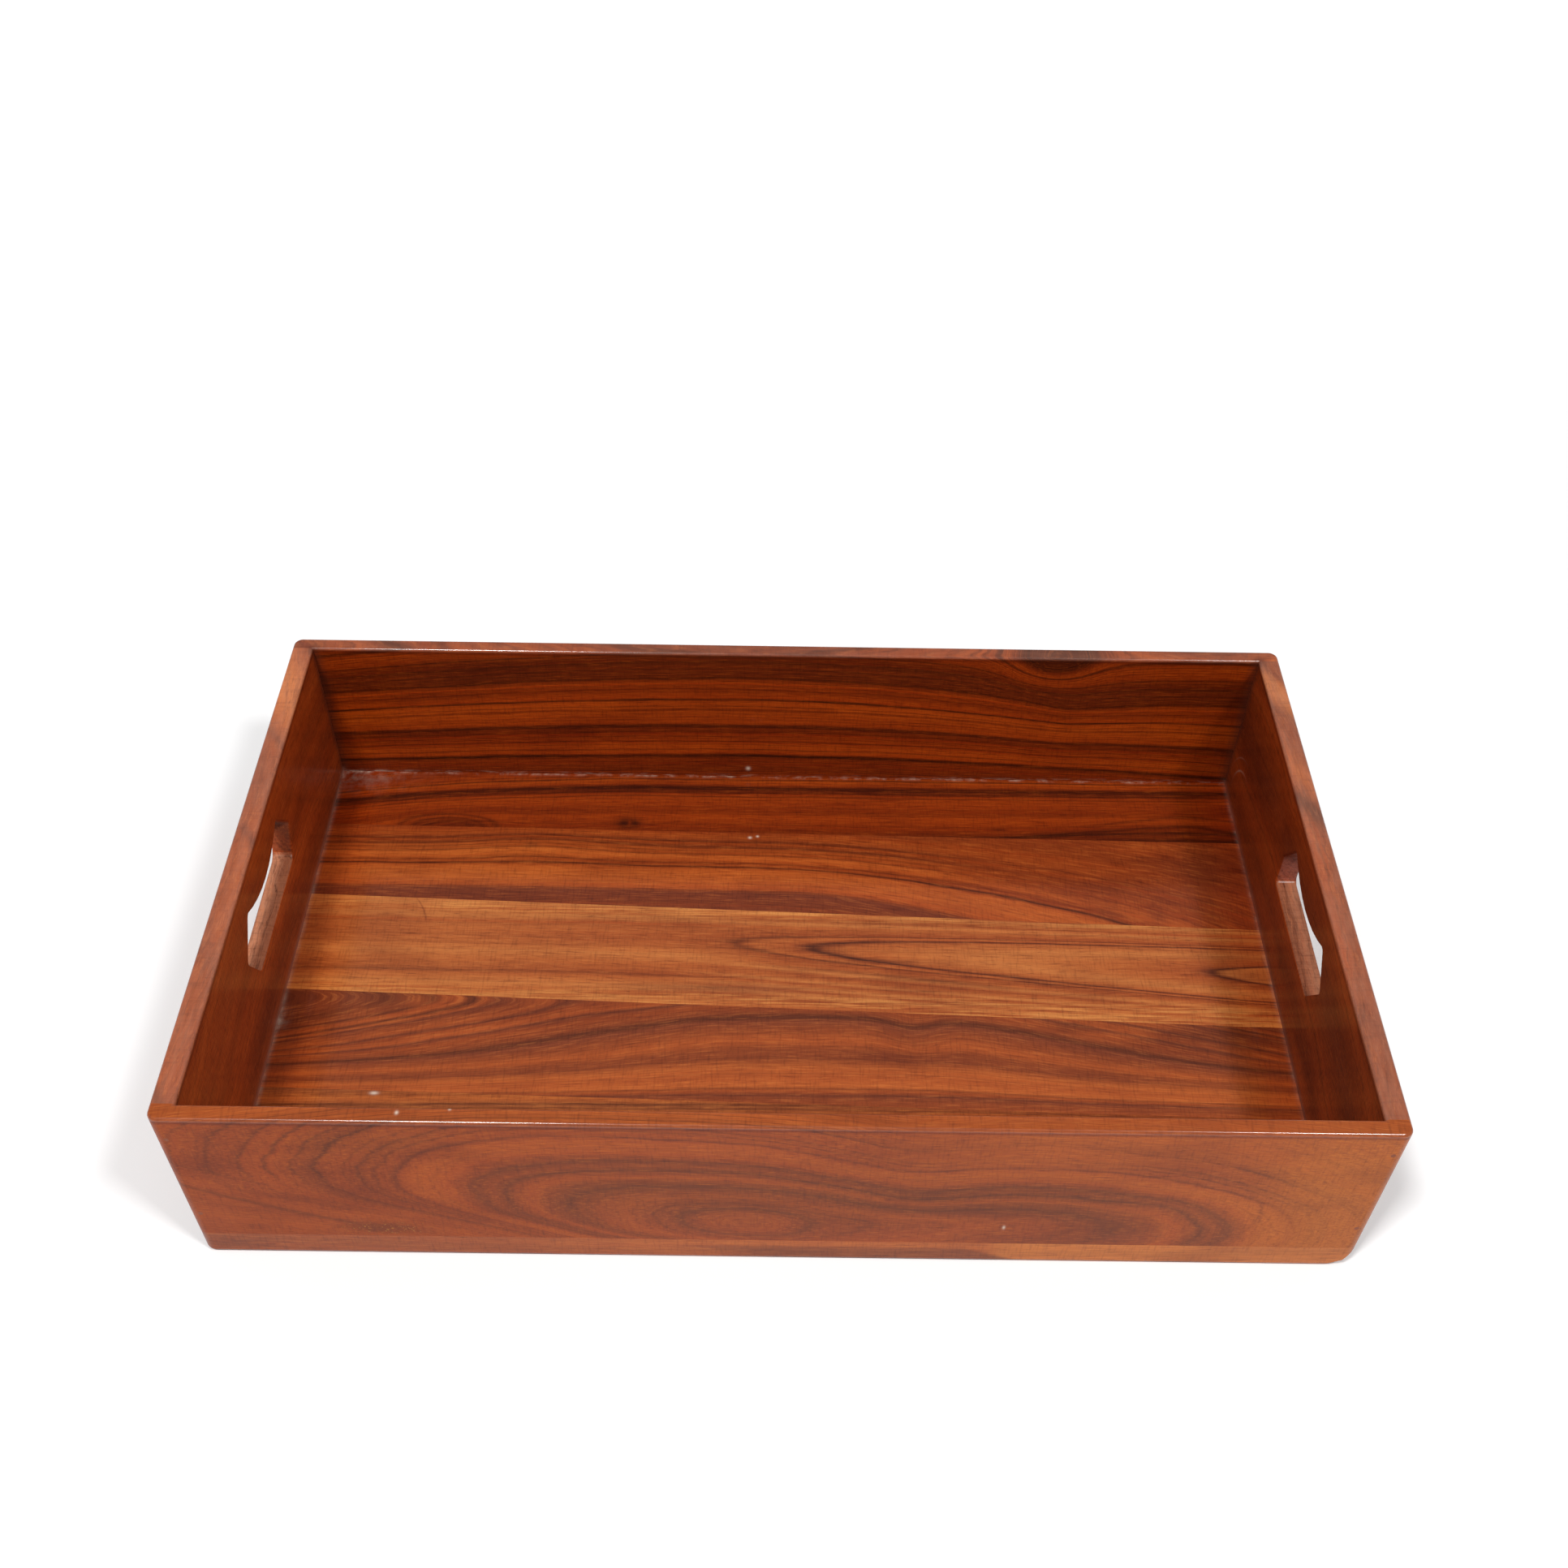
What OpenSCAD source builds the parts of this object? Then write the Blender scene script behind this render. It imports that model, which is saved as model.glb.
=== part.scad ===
// Wooden serving tray: a base of five edge-glued planks, four upright boards glued and
// bradded on top of it, and a finger slot through each end board.
// +X runs along the tray, +Z is up. The origin is at the middle of the underside.

/* [Tray] */
// Overall length, along X
tray_length = 508; // [420:1:620]
// Overall width, along Y
tray_width = 305; // [250:1:400]
// Overall height, along Z
tray_height = 100; // [90:1:130]
// Thickness of the front and back boards
long_board_t = 8; // [7:0.5:12]
// Thickness of the left and right boards
end_board_t = 10.5; // [8:0.5:14]
// Thickness of the base
base_t = 15; // [13:0.5:18]

/* [Base planks] */
// Width share of the front plank
share_1 = 74; // [50:0.5:90]
// Width share of the second plank
share_2 = 57.5; // [50:0.5:90]
// Width share of the middle plank
share_3 = 64; // [50:0.5:90]
// Width share of the fourth plank
share_4 = 57; // [50:0.5:90]
// Width share of the back plank
share_5 = 52.5; // [50:0.5:90]
// How far the first glue line drifts towards the front, from the left end to the right end
drift_1 = 12; // [0:0.5:18]
// Drift of the second glue line
drift_2 = 17.5; // [0:0.5:18]
// Drift of the third glue line
drift_3 = 17.5; // [0:0.5:18]
// Drift of the fourth glue line
drift_4 = 6; // [0:0.5:18]

/* [Rounded edges] */
// Radius of the rim's edges
rim_round = 1.6; // [0.6:0.1:2.4]
// Radius of the lower outside edges
foot_round = 2.4; // [0.6:0.1:2.6]
// Radius of the upright outside corners
corner_round = 4.5; // [3:0.1:6]
// How far the wear on the lower front right corner reaches
worn = 14; // [0:0.5:14]

/* [Finger slots] */
// Length of the left slot from tip to tip
left_slot_length = 93; // [80:1:100]
// Length of the right slot from tip to tip
right_slot_length = 87; // [80:1:100]
// Length of the flat lower edge
slot_bottom = 74; // [60:1:76]
// Length across the upper corners
slot_top = 61; // [50:1:70]
// Height from the lower edge to the upper corners
slot_height = 32.5; // [28:0.5:34]
// Height of the tips above the lower edge
slot_tip = 16.5; // [13:0.5:18]
// How far the middle of the upper edge hangs down into the slot
slot_bulge = 8; // [0:0.5:9]
// Wood left between the upper corners and the rim
slot_rail = 17; // [15:0.5:20]
// Radius of the slots' corners
slot_corner = 2.5; // [2:0.5:4]
// Radius of the left slot's lower back corner
left_slot_sweep = 6; // [2:0.5:8]
// Radius of the right slot's lower back corner
right_slot_sweep = 2.5; // [2:0.5:8]
// Radius worn onto the slot's edges, inside and outside
slot_edge = 1.4; // [0.8:0.2:2.4]
// How far the left slot sits behind the tray's middle
left_slot_shift = 4.5; // [-12:0.5:12]
// How far the right slot sits behind the tray's middle
right_slot_shift = -7.5; // [-12:0.5:12]
// How far the left slot's lower edge sits behind its tips' middle
left_slot_lean = 1; // [-8:0.5:8]
// How far the right slot's lower edge sits behind its tips' middle
right_slot_lean = 6; // [-8:0.5:8]

/* [Brads] */
// Shank diameter
brad_d = 1.4; // [1.2:0.1:1.6]
// Head diameter
brad_head_d = 2.2; // [2:0.1:2.6]
// Length of the brads through the front and back boards into the end boards
corner_brad_length = 30; // [20:1:36]
// Length of the brads up through the base into the boards
base_brad_length = 25; // [20:1:26]
// Depth of the filler over each head
filler_depth = 1; // [0.6:0.1:1.5]

/* [Hidden] */
$fn = 48;

over = 1;
half_l = tray_length / 2;
half_w = tray_width / 2;
inner_half_l = half_l - end_board_t;
inner_half_w = half_w - long_board_t;

// Glue lines of the base: distance from the front edge at mid length, and drift
shares = [share_1, share_2, share_3, share_4, share_5];
share_total = share_1 + share_2 + share_3 + share_4 + share_5;
drifts = [0, drift_1, drift_2, drift_3, drift_4, 0];
function share_sum(n) = n == 0 ? 0 : shares[n - 1] + share_sum(n - 1);
function seam_middle(n) = -half_w + tray_width * share_sum(n) / share_total;
function seam_y(n, side) = seam_middle(n) - side * drifts[n] / 2;
function plank_middle(n, side) = (seam_y(n - 1, side) + seam_y(n, side)) / 2;

// Brad places
brad_head_t = 0.8;
brad_point = 2;
end_board_x = half_l - end_board_t / 2;
long_board_y = half_w - long_board_t / 2;
corner_brad_z = [base_t + 16, tray_height - 14];
long_brad_x = [-0.39, -0.14, 0.14, 0.39] * tray_length;

// ---- Outside form ----

// Cross-section of the whole tray's outline: rounded at the rim and at the foot
module outline_section(width) {
    straight = tray_height - rim_round - foot_round;
    translate([-width / 2, foot_round]) square([width, straight]);
    translate([-width / 2 + rim_round, tray_height / 2])
        square([width - 2 * rim_round, tray_height / 2]);
    translate([-width / 2 + foot_round, 0])
        square([width - 2 * foot_round, tray_height / 2]);
    for (side = [-1, 1]) {
        translate([side * (width / 2 - rim_round), tray_height - rim_round]) circle(rim_round);
        translate([side * (width / 2 - foot_round), foot_round]) circle(foot_round);
    }
}

// Rounded upright corner, turned about its own axis
module corner_post() {
    rotate_extrude() intersection() {
        outline_section(2 * corner_round);
        square([corner_round, tray_height]);
    }
}

// The tray's outside shape as one solid block
module outside_block() {
    rotate([90, 0, 90])
        linear_extrude(tray_length - 2 * corner_round, center = true) outline_section(tray_width);
    rotate([90, 0, 0])
        linear_extrude(tray_width - 2 * corner_round, center = true) outline_section(tray_length);
    for (x = [-1, 1], y = [-1, 1])
        translate([x * (half_l - corner_round), y * (half_w - corner_round), 0]) corner_post();
}

// Section of the round-over that runs round the inside of the rim
module mouth_section(clear) {
    difference() {
        translate([-clear / 2 - rim_round, tray_height - rim_round])
            square([clear + 2 * rim_round, rim_round + over]);
        for (side = [-1, 1])
            translate([side * (clear / 2 + rim_round), tray_height - rim_round]) circle(rim_round);
    }
}

module rim_mouth() {
    intersection() {
        rotate([90, 0, 90]) linear_extrude(tray_length, center = true)
            mouth_section(2 * inner_half_w);
        rotate([90, 0, 0]) linear_extrude(tray_width, center = true)
            mouth_section(2 * inner_half_l);
    }
}

// ---- Finger slot ----

arc_steps = 6;
bulge_steps = 8;

function unit(v) = v / norm(v);
// Points of a fillet of radius r at corner b, between a and c
function fillet(a, b, c, r) =
    let (u = unit(a - b), v = unit(c - b), half = acos(u * v) / 2,
         reach = r / tan(half), middle = b + unit(u + v) * r / sin(half))
    [for (i = [0:arc_steps])
        middle + r * unit(b + u * reach - middle + (v - u) * reach * i / arc_steps)];

slot_z = tray_height - slot_rail - slot_height;
// Upper edge: t runs from 1 at the back corner to -1 at the front corner
function upper_edge(t) = [t * slot_top / 2, slot_height - slot_bulge * (1 - t * t)];
// Slot outline from tip to tip, seen from the right, as distances behind and above the
// middle of the lower edge
function slot_outline(length, lean, sweep) =
    let (low_front = [lean - slot_bottom / 2, 0], low_back = [lean + slot_bottom / 2, 0],
         tip_front = [-length / 2, slot_tip], tip_back = [length / 2, slot_tip],
         t = 1 - 2 / bulge_steps)
    concat(
        fillet(low_front, low_back, tip_back, sweep),
        fillet(low_back, tip_back, upper_edge(1), slot_corner),
        fillet(tip_back, upper_edge(1), upper_edge(t), slot_corner),
        [for (i = [1:bulge_steps - 1]) upper_edge(1 - 2 * i / bulge_steps)],
        fillet(upper_edge(-t), upper_edge(-1), tip_front, slot_corner),
        fillet(upper_edge(-1), tip_front, low_front, slot_corner),
        fillet(tip_front, low_front, low_back, slot_corner)
    );
ring = 6 * (arc_steps + 1) + bulge_steps - 1;
function slot_normal(outline, i) =
    let (t = unit(outline[(i + 1) % ring] - outline[(i + ring - 1) % ring]))
    [t[1], -t[0]];

// Growth of the outline at each depth through the board: a quarter round at both faces
edge_angles = [0:15:90];
function edge_layer(a) = [slot_edge * (1 - cos(a)), slot_edge * (1 - sin(a))];
slot_layers = concat(
    [[-over, slot_edge]],
    [for (a = edge_angles) edge_layer(a)],
    [for (a = edge_angles) [end_board_t - edge_layer(90 - a)[0], edge_layer(90 - a)[1]]],
    [[end_board_t + over, slot_edge]]
);
function slot_points(outline) = [
    for (layer = slot_layers, i = [0:ring - 1])
        let (p = outline[i] + slot_normal(outline, i) * layer[1])
        [layer[0], p[0], p[1]]
];
last_layer = (len(slot_layers) - 1) * ring;
function slot_side(k, i) =
    let (a = k * ring + i, b = k * ring + (i + 1) % ring)
    [[a, a + ring, b + ring], [a, b + ring, b]];
slot_faces = concat(
    [[for (i = [0:ring - 1]) i]],
    [[for (i = [ring - 1:-1:0]) last_layer + i]],
    [for (k = [0:len(slot_layers) - 2], i = [0:ring - 1]) each slot_side(k, i)]
);

// Block that cuts a slot with softened edges through an end board whose left face stands
// at x = 0
module slot_cutter(length, lean, sweep) {
    polyhedron(slot_points(slot_outline(length, lean, sweep)), slot_faces, convexity = 4);
}

// ---- Brads and filler ----

// A brad below its filler, pointing up from the surface at z = 0
module brad(length) {
    translate([0, 0, filler_depth]) {
        cylinder(d = brad_head_d, h = brad_head_t);
        cylinder(d = brad_d, h = length - brad_point);
        translate([0, 0, length - brad_point]) cylinder(d1 = brad_d, d2 = 0.3, h = brad_point);
    }
}

module filler() {
    cylinder(d = brad_head_d, h = filler_depth);
}

// The hole that a driven brad leaves, open at the surface
module brad_hole(length) {
    brad(length);
    translate([0, 0, -over]) cylinder(d = brad_head_d, h = over + filler_depth);
}

// Places along one corner: side_x is -1 at the left, side_y is -1 at the front
module at_corner(side_x, side_y) {
    for (z = corner_brad_z)
        translate([side_x * end_board_x, side_y * half_w, z]) rotate([side_y * 90, 0, 0])
            children();
}

// Places under the front or back board
module under_long_board(side_y) {
    for (x = long_brad_x) translate([x, side_y * long_board_y, 0]) children();
}

// The place under an end board in the middle of plank n
module under_end_board(side_x, n) {
    translate([side_x * end_board_x, plank_middle(n, side_x), 0]) children();
}

module corner_brads(side_x, side_y) {
    at_corner(side_x, side_y) brad(corner_brad_length);
}

module corner_holes(side_x, side_y) {
    at_corner(side_x, side_y) brad_hole(corner_brad_length);
}

// ---- Upright boards ----

module long_board(side_y) {
    difference() {
        intersection() {
            outside_block();
            translate([0, side_y * long_board_y, base_t + tray_height / 2])
                cube([tray_length + over, long_board_t, tray_height], center = true);
        }
        rim_mouth();
        for (side_x = [-1, 1]) corner_holes(side_x, side_y);
        under_long_board(side_y) brad_hole(base_brad_length);
    }
}

// The slot cutter is the child, placed against the board's left face
module end_board(side_x) {
    difference() {
        intersection() {
            outside_block();
            translate([side_x * end_board_x, 0, base_t + tray_height / 2])
                cube([end_board_t, 2 * inner_half_w, tray_height], center = true);
        }
        rim_mouth();
        translate([side_x * end_board_x - end_board_t / 2, 0, slot_z]) children();
        for (side_y = [-1, 1]) corner_holes(side_x, side_y);
        for (n = [1:5]) under_end_board(side_x, n) brad_hole(base_brad_length);
    }
}

module front_board() {
    color("sienna") long_board(-1);
}

module back_board() {
    color([0.42, 0.17, 0.08]) long_board(1);
}

module left_board() {
    color([0.5, 0.2, 0.1]) end_board(-1) translate([0, left_slot_shift, 0])
        slot_cutter(left_slot_length, left_slot_lean, left_slot_sweep);
}

module right_board() {
    color([0.48, 0.19, 0.09]) end_board(1) translate([0, right_slot_shift, 0])
        slot_cutter(right_slot_length, right_slot_lean, right_slot_sweep);
}

// ---- Base ----

// Plan of plank n between its two glue lines
module plank_plan(n) {
    polygon([
        [-half_l, seam_y(n - 1, -1)], [half_l, seam_y(n - 1, 1)],
        [half_l, seam_y(n, 1)], [-half_l, seam_y(n, -1)]
    ]);
}

// Block beyond a slanting plane that meets the lower front right corner's edges at
// distances reach[0] along X, reach[1] along Y and reach[2] along Z
module beyond_plane(reach) {
    normal = [1 / reach[0], -1 / reach[1], -1 / reach[2]];
    size = 3 * max(reach);
    translate([half_l - reach[0], -half_w, 0])
        rotate([0, acos(normal[2] / norm(normal)), atan2(normal[1], normal[0])])
            translate([-size / 2, -size / 2, 0]) cube(size);
}

// The wood worn off the lower front right corner, in two facets
module worn_corner() {
    if (worn > 0) {
        beyond_plane([worn / 2, 2 * worn, worn]);
        beyond_plane([worn, 2 * worn, worn / 2]);
    }
}

module base_plank(n) {
    difference() {
        intersection() {
            outside_block();
            linear_extrude(base_t) plank_plan(n);
        }
        for (side_x = [-1, 1]) under_end_board(side_x, n) brad_hole(base_brad_length);
        if (n == 1) {
            under_long_board(-1) brad_hole(base_brad_length);
            worn_corner();
        }
        if (n == 5) under_long_board(1) brad_hole(base_brad_length);
    }
}

module base_plank_1() {
    color([0.45, 0.16, 0.07]) base_plank(1);
}

module base_plank_2() {
    color([0.52, 0.22, 0.1]) base_plank(2);
}

module base_plank_3() {
    color([0.68, 0.34, 0.15]) base_plank(3);
}

module base_plank_4() {
    color([0.6, 0.27, 0.12]) base_plank(4);
}

module base_plank_5() {
    color([0.45, 0.18, 0.09]) base_plank(5);
}

// ---- Fastenings ----

module front_left_brads() {
    color("silver") corner_brads(-1, -1);
}

module front_right_brads() {
    color("silver") corner_brads(1, -1);
}

module back_left_brads() {
    color("silver") corner_brads(-1, 1);
}

module back_right_brads() {
    color("silver") corner_brads(1, 1);
}

module base_front_brads() {
    color("silver") under_long_board(-1) brad(base_brad_length);
}

module base_back_brads() {
    color("silver") under_long_board(1) brad(base_brad_length);
}

module base_left_brads() {
    color("silver") for (n = [1:5]) under_end_board(-1, n) brad(base_brad_length);
}

module base_right_brads() {
    color("silver") for (n = [1:5]) under_end_board(1, n) brad(base_brad_length);
}

module front_fillers() {
    color([0.35, 0.13, 0.07]) for (side_x = [-1, 1]) at_corner(side_x, -1) filler();
}

module back_fillers() {
    color([0.35, 0.13, 0.07]) for (side_x = [-1, 1]) at_corner(side_x, 1) filler();
}

module base_fillers() {
    color([0.35, 0.13, 0.07]) {
        for (side_y = [-1, 1]) under_long_board(side_y) filler();
        for (side_x = [-1, 1], n = [1:5]) under_end_board(side_x, n) filler();
    }
}

front_board();
back_board();
left_board();
right_board();
base_plank_1();
base_plank_2();
base_plank_3();
base_plank_4();
base_plank_5();
front_left_brads();
front_right_brads();
back_left_brads();
back_right_brads();
base_front_brads();
base_back_brads();
base_left_brads();
base_right_brads();
front_fillers();
back_fillers();
base_fillers();
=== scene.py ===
"""Wooden serving tray: lacquered rosewood-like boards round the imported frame, on a pale studio floor.

Lengths inside the materials are in millimetres in the tray's own frame: x along the tray,
y from front to back, z up from the underside.
"""

import math

import bpy
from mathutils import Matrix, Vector


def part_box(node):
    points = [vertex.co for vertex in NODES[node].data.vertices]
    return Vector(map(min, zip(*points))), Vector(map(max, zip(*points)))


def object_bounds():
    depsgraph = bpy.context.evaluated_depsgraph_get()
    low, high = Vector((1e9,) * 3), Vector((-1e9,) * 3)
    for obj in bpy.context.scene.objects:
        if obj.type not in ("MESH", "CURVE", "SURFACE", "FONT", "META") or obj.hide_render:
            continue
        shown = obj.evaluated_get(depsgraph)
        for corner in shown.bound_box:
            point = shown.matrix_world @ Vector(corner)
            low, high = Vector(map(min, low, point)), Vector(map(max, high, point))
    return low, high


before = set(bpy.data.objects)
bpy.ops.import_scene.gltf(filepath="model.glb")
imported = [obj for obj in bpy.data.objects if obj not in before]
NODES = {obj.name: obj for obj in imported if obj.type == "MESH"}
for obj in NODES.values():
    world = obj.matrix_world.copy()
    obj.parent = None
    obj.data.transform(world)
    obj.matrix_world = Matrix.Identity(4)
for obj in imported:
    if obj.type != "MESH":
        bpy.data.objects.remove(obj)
cad_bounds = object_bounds()

MM = 0.001
LOW, HIGH = (Vector(corner) / MM for corner in cad_bounds)


def node_box(name):
    """The lowest and highest corner of a CAD node, in millimetres."""
    low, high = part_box(name)
    return Vector(low) / MM, Vector(high) / MM


FRONT_Y = LOW.y
BACK_INNER_Y = node_box("back_board")[0].y
FRONT_INNER_Y = node_box("front_board")[1].y
LEFT_INNER_X = node_box("left_board")[1].x
RIGHT_INNER_X = node_box("right_board")[0].x
FLOOR_Z = node_box("base_plank_3")[1].z
RIM_Z = HIGH.z

# ---- Colours, as linear light ----

INK = (0.030, 0.008, 0.006)
DARK = (0.075, 0.018, 0.010)
PURPLE = (0.155, 0.040, 0.022)
BROWN = (0.200, 0.048, 0.017)
RUST = (0.270, 0.062, 0.016)
AMBER = (0.370, 0.094, 0.024)
ORANGE = (0.440, 0.128, 0.034)
GOLD = (0.540, 0.200, 0.062)
STRAW = (0.720, 0.340, 0.110)
DUST = (0.560, 0.430, 0.340)
WORN = (0.480, 0.210, 0.130)
SCUFFED = (0.420, 0.290, 0.290)
HONEY = (0.460, 0.165, 0.050)
CLAY = (0.310, 0.078, 0.020)
BRICK = (0.320, 0.085, 0.026)
SAWN_BROWN = (0.190, 0.085, 0.072)
SAWN_MAUVE = (0.340, 0.170, 0.210)
PUTTY_LIGHT = (0.270, 0.072, 0.028)
PUTTY_DARK = (0.190, 0.050, 0.020)
STEEL_DARK = (0.420, 0.420, 0.430)
STEEL_LIGHT = (0.660, 0.650, 0.640)

# Filters: a colour is multiplied by one of these
# Painted bounce light: the red of light reflected off the end boards onto the floor
PAINTED_BOUNCE = (1.0, 0.70, 0.48)
# Painted light: makes a surface lighter and paler, as where light falls
PAINTED_LIGHT = (1.13, 1.34, 1.8)
MUTED = (0.87, 0.96, 1.0)


# ---- Arithmetic in shader nodes ----


class Value:
    """A number in a shader that can be worked with like any other number."""

    def __init__(self, tree, socket):
        self.tree = tree
        self.socket = socket

    def math(self, kind, *others):
        node = self.tree.nodes.new("ShaderNodeMath")
        node.operation = kind
        for slot, term in zip(node.inputs, (self, *others)):
            if isinstance(term, Value):
                self.tree.links.new(term.socket, slot)
            else:
                slot.default_value = term
        return Value(self.tree, node.outputs[0])

    def __add__(self, other):
        return self.math("ADD", other)

    def __sub__(self, other):
        return self.math("SUBTRACT", other)

    def __rsub__(self, other):
        return (self * -1) + other

    def __mul__(self, other):
        return self.math("MULTIPLY", other)

    def __truediv__(self, other):
        return self.math("DIVIDE", other)

    def square(self):
        return self * self

    def root(self):
        return self.math("SQRT")

    def size(self):
        return self.math("ABSOLUTE")

    def clamp(self, low=0.0, high=1.0):
        return self.math("MAXIMUM", low).math("MINIMUM", high)


def bell(value, centre, width):
    """1 at the centre, falling off on both sides."""
    return ((value - centre) / width).square().math("MULTIPLY", -1.0).math("EXPONENT")


def spot(along, across, centre, radii):
    """A soft ellipse, 1 in the middle."""
    far = ((along - centre[0]) / radii[0]).square() + ((across - centre[1]) / radii[1]).square()
    return (far * -1.0).math("EXPONENT")


def step(value, low, high):
    """0 below low, 1 above high, and a smooth rise between them."""
    node = value.tree.nodes.new("ShaderNodeMapRange")
    node.interpolation_type = "SMOOTHSTEP"
    node.inputs["From Min"].default_value = low
    node.inputs["From Max"].default_value = high
    value.tree.links.new(value.socket, node.inputs["Value"])
    return Value(value.tree, node.outputs["Result"])


def ease(value, soft):
    """A bend: 0 well below zero, and the value itself well above it."""
    return (value + (value.square() + soft * soft).root()) * 0.5


class Board:
    """The material of one board or fastening: coordinates in millimetres, patterns and layers
    of colour."""

    def __init__(self, name, grain="x", seed=0.0):
        self.material = bpy.data.materials.new(name)
        self.material.use_nodes = True
        self.tree = self.material.node_tree
        self.tree.nodes.clear()
        self.output = self.tree.nodes.new("ShaderNodeOutputMaterial")
        self.seed = seed
        place = self.tree.nodes.new("ShaderNodeTexCoord")
        split = self.tree.nodes.new("ShaderNodeSeparateXYZ")
        self.tree.links.new(place.outputs["Object"], split.inputs[0])
        self.x, self.y, self.z = (Value(self.tree, out) * (1 / MM) for out in split.outputs)
        geometry = self.tree.nodes.new("ShaderNodeNewGeometry")
        face = self.tree.nodes.new("ShaderNodeSeparateXYZ")
        self.tree.links.new(geometry.outputs["True Normal"], face.inputs[0])
        self.facing = dict(zip("xyz", (Value(self.tree, out) for out in face.outputs)))
        self.grain = grain
        others = [axis for axis in "xyz" if axis != grain]
        self.along = getattr(self, grain)
        self.cross_a = getattr(self, others[0])
        self.cross_b = getattr(self, others[1])
        self.end_grain = step(self.facing[grain].size(), 0.75, 0.95)

    def noise(self, scales, detail=2.0, rough=0.5, shift=0.0, terms=None):
        """Noise from 0 to 1 with its mean at 0.5. scales are the pattern's size in millimetres
        along the grain and in the two directions across it."""
        terms = terms or (self.along, self.cross_a, self.cross_b)
        joined = self.tree.nodes.new("ShaderNodeCombineXYZ")
        for slot, term, scale in zip(joined.inputs, terms, scales):
            self.tree.links.new((term / scale).socket, slot)
        node = self.tree.nodes.new("ShaderNodeTexNoise")
        node.noise_dimensions = "4D"
        node.inputs["W"].default_value = self.seed + shift
        node.inputs["Scale"].default_value = 1.0
        node.inputs["Detail"].default_value = detail
        node.inputs["Roughness"].default_value = rough
        self.tree.links.new(joined.outputs[0], node.inputs["Vector"])
        return Value(self.tree, node.outputs["Fac"])

    def ring_noise(self, ring, period, detail=2.0, shift=0.0):
        """Noise that changes only from ring to ring."""
        node = self.tree.nodes.new("ShaderNodeTexNoise")
        node.noise_dimensions = "1D"
        node.inputs["Scale"].default_value = 1.0
        node.inputs["Detail"].default_value = detail
        self.tree.links.new((ring / period + self.seed * 7.3 + shift).socket, node.inputs["W"])
        return Value(self.tree, node.outputs["Fac"])

    def ramp(self, value, stops):
        """Colours in bands: stops are (place, colour) in the value's own unit."""
        low, high = stops[0][0], stops[-1][0]
        node = self.tree.nodes.new("ShaderNodeValToRGB")
        band = node.color_ramp
        places = [(place - low) / (high - low) for place, _ in stops]
        band.elements[0].position = places[0]
        band.elements[1].position = places[-1]
        for place in places[1:-1]:
            band.elements.new(place)
        for element, (_, colour) in zip(band.elements, stops):
            element.color = (*colour, 1.0)
        self.tree.links.new(((value - low) / (high - low)).socket, node.inputs[0])
        return node.outputs["Color"]

    def blend(self, factor, under, over, kind="MIX"):
        """over laid on under. Each is a colour socket or three numbers."""
        node = self.tree.nodes.new("ShaderNodeMix")
        node.data_type = "RGBA"
        node.blend_type = kind
        node.clamp_factor = True
        if isinstance(factor, Value):
            self.tree.links.new(factor.socket, node.inputs[0])
        else:
            node.inputs[0].default_value = factor
        for slot, colour in ((node.inputs[6], under), (node.inputs[7], over)):
            if isinstance(colour, tuple):
                slot.default_value = (*colour, 1.0)
            else:
                self.tree.links.new(colour, slot)
        return node.outputs[2]

    def lines(self, ring, marks):
        """How dark the named growth lines are: marks are (place, half width, strength)."""
        total = None
        for place, width, strength in marks:
            one = bell(ring, place, width) * strength
            total = one if total is None else total + one
        return total

    def corners(self, colour):
        """Pale lacquer and dust caught in broken lines where the boards meet inside, painted shade in
        the upright corners and painted bounce light on the floor near the end boards.
        """
        broken = self.noise((7, 7, 1.5), 3.0, 0.6, shift=13.0, terms=(self.x, self.y, self.z))
        # Broken lines along the back and, weaker, along the ends
        low = bell(self.z, FLOOR_Z + 0.2, 1.1)
        back = bell(self.y, BACK_INNER_Y - 0.3, 1.1) * low
        side = self.x.size() - RIGHT_INNER_X
        inside = 1 - step(self.y.size(), BACK_INNER_Y + 0.3, BACK_INNER_Y + 1.5)
        ends = bell(side, -0.2, 1.0) * low * inside * 0.2
        line = (back * 0.8 + ends) * step(broken, 0.44, 0.75)
        # Smears in the back left corner and further forward at the left end
        smear = spot(self.x, self.y, (LEFT_INNER_X, BACK_INNER_Y), (27, 11)) * low
        smear = smear + spot(self.x, self.y, (LEFT_INNER_X, -33), (4, 6)) * low
        line = line + smear * step(broken, 0.36, 0.7) * 0.7
        # A thin film at the foot of the end boards, and shade in the upright corners
        film = bell(side, 0, 1.5) * bell(self.z, FLOOR_Z + 1, 2.0) * inside * (broken * 0.28)
        film = film * (1 - step(self.x, -1, 1) * 0.5)
        upright = bell(side, 0, 3.5) * bell(self.y, BACK_INNER_Y, 3.5)
        upright = upright * step(self.z, FLOOR_Z, FLOOR_Z + 4)
        colour = self.blend((upright * 0.6).clamp(), colour, DARK)
        # Painted bounce light: the floor is redder near the end boards, as if lit by red light
        # reflected off them
        painted_bounce = step(side, -30, -4) * inside * (1 - step(self.z, FLOOR_Z + 1, FLOOR_Z + 3)) * 0.7
        colour = self.blend(painted_bounce, colour, PAINTED_BOUNCE, "MULTIPLY")
        return self.blend((line * 0.55 + film).clamp(), colour, DUST)

    def wood_layers(self, colour, ring, lines, contrast):
        """Growth lines, rings, fibres, pores, stain and dark end grain. Returns the colour and
        the fibres, pores and stain that the lacquer follows."""
        fade = self.noise((60, 7, 7), 2.0, shift=3.0)
        if lines is not None:
            colour = self.blend((lines * (fade * 1.1 + 0.45)).clamp(0, 0.92), colour, INK)
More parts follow.
